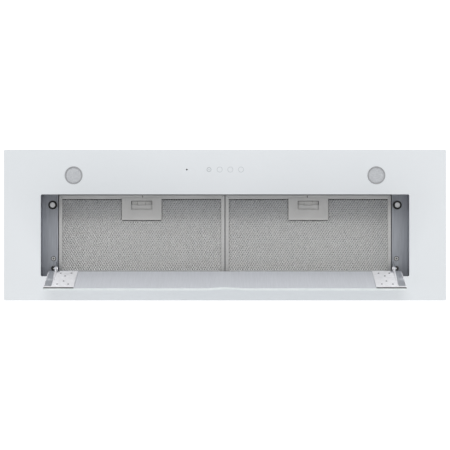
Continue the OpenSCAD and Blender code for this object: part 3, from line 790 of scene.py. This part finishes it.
def expanded_mesh(name, low, high, z, cut, strand):
    """Expanded metal: zigzag strands that touch their neighbours at the knuckles. low and high are (x, y)
    corners, cut is a box (x0, x1, y0, y1) that the strands stay out of, all in millimetres."""
    half = MESH_CELL[0] / 2
    rise = MESH_CELL[1] / 2
    columns = int((high[0] - low[0]) / half)
    rows = int((high[1] - low[1]) / rise)
    bm = bmesh.new()
    for row in range(rows):
        y_mid = low[1] + (row + 0.5) * rise
        previous = None
        for column in range(columns + 1):
            x = low[0] + column * half
            if cut[0] < x < cut[1] and cut[2] < y_mid < cut[3]:
                previous = None
                continue
            knuckle = 1 if (row + column) % 2 else -1
            y = y_mid + knuckle * (rise - strand) / 2
            front, rear = y - strand / 2, y + strand / 2
            section = [(front, z + STRAND_LEAN), (rear, z - STRAND_LEAN),
                       (rear, z - STRAND_LEAN + STRAND_THICK), (front, z + STRAND_LEAN + STRAND_THICK)]
            ring = [bm.verts.new((x * MM, ring_y * MM, ring_z * MM)) for ring_y, ring_z in section]
            if previous:
                for i in range(4):
                    j = (i + 1) % 4
                    bm.faces.new((previous[i], previous[j], ring[j], ring[i]))
            else:
                bm.faces.new(ring)
            previous = ring
    return from_bmesh(name, bm, MESH)


def make_filter_pack(side):
    """Two layers of expanded metal over the shaded core of a filter. The second layer is shifted by a
    quarter of a cell's height, so that its strands show through the holes of the first."""
    node = "filter_mesh_" + side
    body, slot = BODY_OF[node], SLOT_OF[node]
    low, high = box_mm(node)
    handle_low, handle_high = box_mm("filter_handle_" + side)
    cut = (handle_low.x - 0.5, handle_high.x + 0.5, low.y - 1, handle_high.y)
    face = expanded_mesh(node + "_face", low.xy, high.xy, low.z + 0.5, cut, strand=1.25)
    place(face, body, slot, node)
    shifted = (low.x + MESH_CELL[0] - 0.3, low.y + MESH_CELL[1] / 4)
    second = expanded_mesh(node + "_second", shifted, high.xy, low.z + 2.0, cut, strand=1.6)
    place(second, body, slot)
    outline = [(low.x, low.y), (cut[0], low.y), (cut[0], cut[3]), (cut[1], cut[3]), (cut[1], low.y),
               (high.x, low.y), (high.x, high.y), (low.x, high.y)]
    place(prism(node + "_core", outline, (low.z + 3.4, high.z), DEPTH), body, slot)


# ---------------------------------------------------------------- body and outlet

BEAD_WIDTH = 16
BEAD_HEIGHT = 1.1
# Share of the bead's width that each ring stands in from its edge, and share of its height.
BEAD_PROFILE = [(0, 0), (0.08, 0.3), (0.17, 0.66), (0.27, 0.9), (0.38, 1)]
BOX_FLANGE = 10
# Lengths of the beads on the motor box's ends, on its front and rear, and on the body's top.
END_BEAD = 190
FRONT_BEAD = 320
TOP_BEAD = 150
WALL_BEAD_PITCH = 45
TOP_BEAD_PITCH = 70
TOP_BEAD_X = 315

WELD_X = 433
WELD_Y = 145
WELD_MARK = [(AXIS_R, 0.02), (1.6, 0.03), (2.1, 0.18), (2.6, 0.16), (3.0, -0.05), (AXIS_R, -0.05)]

SPIGOT_R = 74.5
SPIGOT_HEIGHT = 40
# Inside of the spigot's outer radius, and height above its foot: bead, rolled lip, then down the inside.
SPIGOT = [(0, 0), (0, 3), (1.2, 4.2), (1.2, 6.2), (0, 7.4), (0, SPIGOT_HEIGHT - 0.4), (0.4, SPIGOT_HEIGHT),
          (0.9, SPIGOT_HEIGHT - 0.3), (1, 13), (3, 11), (3, -2)]
COLLAR_POINTS = 96


def stadium(length, width, steps=10):
    """Outline of a bar with round ends along X."""
    points = []
    radius = width / 2
    middle = length / 2 - radius
    for end in (1, -1):
        for i in range(steps + 1):
            angle = -math.pi / 2 + math.pi * i / steps
            points.append((end * (middle + radius * math.cos(angle)), end * radius * math.sin(angle)))
    return points


def pressed_bead(name, length, matrix):
    """A rounded rib pressed out of sheet metal. The matrix takes its flat side onto the sheet."""
    bm = bmesh.new()
    rings = [add_ring(bm, stadium(length, BEAD_WIDTH), -0.1)]
    for share, rise in BEAD_PROFILE:
        inset = BEAD_WIDTH * share
        rings.append(add_ring(bm, stadium(length - 2 * inset, BEAD_WIDTH - 2 * inset), BEAD_HEIGHT * rise))
    join_rings(bm, rings)
    bead = from_bmesh(name, bm, ZINC)
    bead.data.transform(matrix)
    smooth_shade(bead, 60)
    place(bead, "root", "zinc_steel")


def make_pressed_beads():
    """Three ribs on each wall of the motor box, and three on the body's top at its right end."""
    low, high = box_mm("motor_box")
    middle = (low.z + high.z) / 2
    wall_x = (high.x - low.x) / 2 - BOX_FLANGE
    quarter = math.pi / 2
    along_y = Matrix.Rotation(quarter, 4, "Z")
    walls = [(side, (sign * wall_x, 0), Matrix.Rotation(sign * quarter, 4, "Y") @ along_y, END_BEAD)
             for side, sign in SIDES]
    walls += [(wall, (0, sign * high.y), Matrix.Rotation(-sign * quarter, 4, "X"), FRONT_BEAD)
              for wall, sign in (("front", -1), ("rear", 1))]
    for wall, (x, y), turn, length in walls:
        for k, rise in enumerate((-WALL_BEAD_PITCH, 0, WALL_BEAD_PITCH)):
            pressed_bead("box_bead_%s_%d" % (wall, k), length, shift(x, y, middle + rise) @ turn)
    body_top = box_mm("body_shell")[1].z
    for k, y in enumerate((-TOP_BEAD_PITCH, 0, TOP_BEAD_PITCH)):
        pressed_bead("body_bead_right_%d" % k, TOP_BEAD, shift(TOP_BEAD_X, y, body_top))


def make_spot_welds():
    """Shallow round weld marks along the seat flange, on all four sides."""
    spots = [(x, sign * WELD_Y) for x in range(-420, 421, 60) for sign in (-1, 1)]
    spots += [(sign * WELD_X, y) for y in range(-110, 111, 55) for sign in (-1, 1)]
    for k, (x, y) in enumerate(spots):
        weld = lathe("spot_weld_%02d" % k, WELD_MARK, (x, y, 0), 16, ZINC, closed=False)
        place(weld, "root", "zinc_steel")


def square_ring(half_w, half_d, radius):
    """Points round a rounded rectangle, each side and corner holding the same share of them."""
    points = []
    quarter = COLLAR_POINTS // 4
    straight = quarter // 2
    for k, (sx, sy) in enumerate(((1, 1), (-1, 1), (-1, -1), (1, -1))):
        cx, cy = sx * (half_w - radius), sy * (half_d - radius)
        for i in range(quarter - straight):
            angle = (math.pi / 2) * (k + i / (quarter - straight - 1))
            points.append((cx + radius * math.cos(angle), cy + radius * math.sin(angle)))
        along_x = k in (0, 2)
        next_x, next_y = ((-1, 1), (-1, -1), (1, -1), (1, 1))[k]
        end_x = next_x * (half_w - radius if along_x else half_w)
        end_y = next_y * (half_d if along_x else half_d - radius)
        x, y = points[-1]
        for i in range(1, straight + 1):
            share = i / (straight + 1)
            points.append((x + (end_x - x) * share, y + (end_y - y) * share))
    return points


def make_collar():
    """Square-to-round outlet with a bead and a rolled lip."""
    low, high = box_mm("outlet_collar")
    half_w, half_d = (high.x - low.x) / 2, (high.y - low.y) / 2
    start = math.pi / 4 - 2 * math.pi * (COLLAR_POINTS // 16) / COLLAR_POINTS
    plate_top, spigot_foot = low.z + 1.6, high.z - SPIGOT_HEIGHT
    cone_foot = plate_top + 1.2
    inside = square_ring(89.5, 39.5, 5)
    edge, edge_top = square_ring(half_w, half_d, 6), square_ring(half_w - 0.4, half_d - 0.4, 6)
    cone_fillet, cone = square_ring(93.5, 43.5, 7), square_ring(92, 42, 7)
    layers = [(inside, low.z), (edge, low.z), (edge, plate_top - 0.4), (edge_top, plate_top),
              (cone_fillet, plate_top), (cone, cone_foot)]
    rim = circle(SPIGOT_R, COLLAR_POINTS, start)
    for share in (0.25, 0.5, 0.75):
        mixed = [(a * (1 - share) + c * share, b * (1 - share) + d * share)
                 for (a, b), (c, d) in zip(cone, rim)]
        layers.append((mixed, cone_foot + (spigot_foot - cone_foot) * share))
    layers += [(circle(SPIGOT_R - inset, COLLAR_POINTS, start), spigot_foot + rise) for inset, rise in SPIGOT]
    layers.append((inside, low.z + 1))
    bm = bmesh.new()
    centre = ((low.x + high.x) / 2, (low.y + high.y) / 2)
    join_rings(bm, [add_ring(bm, points, z, centre) for points, z in layers], closed=True)
    slot = SLOT_OF["outlet_collar"]
    collar = from_bmesh("outlet_collar_shell", bm, SLOT_MATERIAL[slot])
    smooth_shade(collar, 38)
    place(collar, "root", slot, "outlet_collar")


# ---------------------------------------------------------------- soft-edged copies of the hard parts

def with_sides(table):
    """The table with each name that holds a * given once for the left and once for the right."""
    return {name.replace("*", side): value for name, value in table.items()
            for side in (("left", "right") if "*" in name else ("",))}


# Radius of the broken edges, in millimetres.
EDGE_RADIUS = with_sides({
    "recess_liner": 0.35, "filter_rear_rail": 0.25, "filter_divider": 0.25, "body_shell": 0.35,
    "motor_box": 0.35, "fascia_backing_frame": 0.2, "control_box_base": 0.4, "control_box_cover": 0.5,
    "hinge_base_*": 0.3, "hinge_leaf_*": 0.2, "end_plate_*": 0.25, "filter_frame_*": 0.3,
    "filter_handle_*": 0.5, "filter_latch_*": 0.3, "catch_post_*": 0.6, "catch_magnet_*": 0.25,
    "hinge_pin_*": 0.3, "hinge_base_screws": 0.2, "collar_screws": 0.2, "motor_box_screws": 0.25,
    "panel_skin": 0.15, "cable_gland": 0.4, "capacitor": 0.8, "motor_housing": 1.0,
})
OWN_FINISH = with_sides({
    "hinge_leaf_*": PLATE, "end_plate_*": STRIP, "hinge_base_*": LINER, "hinge_base_screws": RAIL,
    "catch_magnet_*": ZINC,
})


def mark_edges(obj, edge_material):
    """Give every face that isn't parallel to the largest one the edge material."""
    obj.data.materials.append(edge_material)
    main = max(obj.data.polygons, key=lambda face: face.area).normal.copy()
    for face in obj.data.polygons:
        if abs(face.normal.dot(main)) < 0.98:
            face.material_index = 1


def soft_edged(node, radius, segments=2, material=None, edge_material=None):
    """A copy of a CAD node with its sharp edges broken by a small radius, in millimetres."""
    slot = SLOT_OF[node]
    bm = bmesh.new()
    bm.from_mesh(frame["nodes"][node].data)
    bmesh.ops.remove_doubles(bm, verts=bm.verts, dist=2e-6)
    bmesh.ops.dissolve_limit(bm, angle_limit=math.radians(1.0), verts=bm.verts, edges=bm.edges)
    for face in bm.faces:
        face.material_index = 0
    obj = from_bmesh(node + "_shell", bm, material or SLOT_MATERIAL[slot])
    bevel = obj.modifiers.new("edges", "BEVEL")
    bevel.width = radius * MM
    bevel.segments = segments
    bevel.limit_method = "ANGLE"
    bevel.angle_limit = math.radians(35)
    apply_modifiers(obj)
    if edge_material:
        mark_edges(obj, edge_material)
    smooth_shade(obj)
    place(obj, BODY_OF[node], slot, node)


# ---------------------------------------------------------------- making the model

for node_name, node_object in frame["nodes"].items():
    node_object.data.materials.clear()
    node_object.data.materials.append(SLOT_MATERIAL[SLOT_OF[node_name]])

make_key_prints()
make_leaf_hole_shades()
make_leaf_hems()
make_screw_shadow_rings()
make_screw_details()
make_handle_details()
make_filter_details()
make_catch_mouths()
make_pressed_beads()
make_spot_welds()
make_mitres()
make_collar()
make_rail_slot_shades()
for side_name, _ in SIDES:
    make_lamp(side_name)
for side_name, _ in SIDES:
    make_filter_pack(side_name)
for pane, pane_radius in (("fascia_glass", 0.4), ("panel_glass", 0.7)):
    soft_edged(pane, pane_radius, 3, GLASS, GLASS_EDGE)
for node_name, edge_radius in EDGE_RADIUS.items():
    soft_edged(node_name, edge_radius, material=OWN_FINISH.get(node_name))
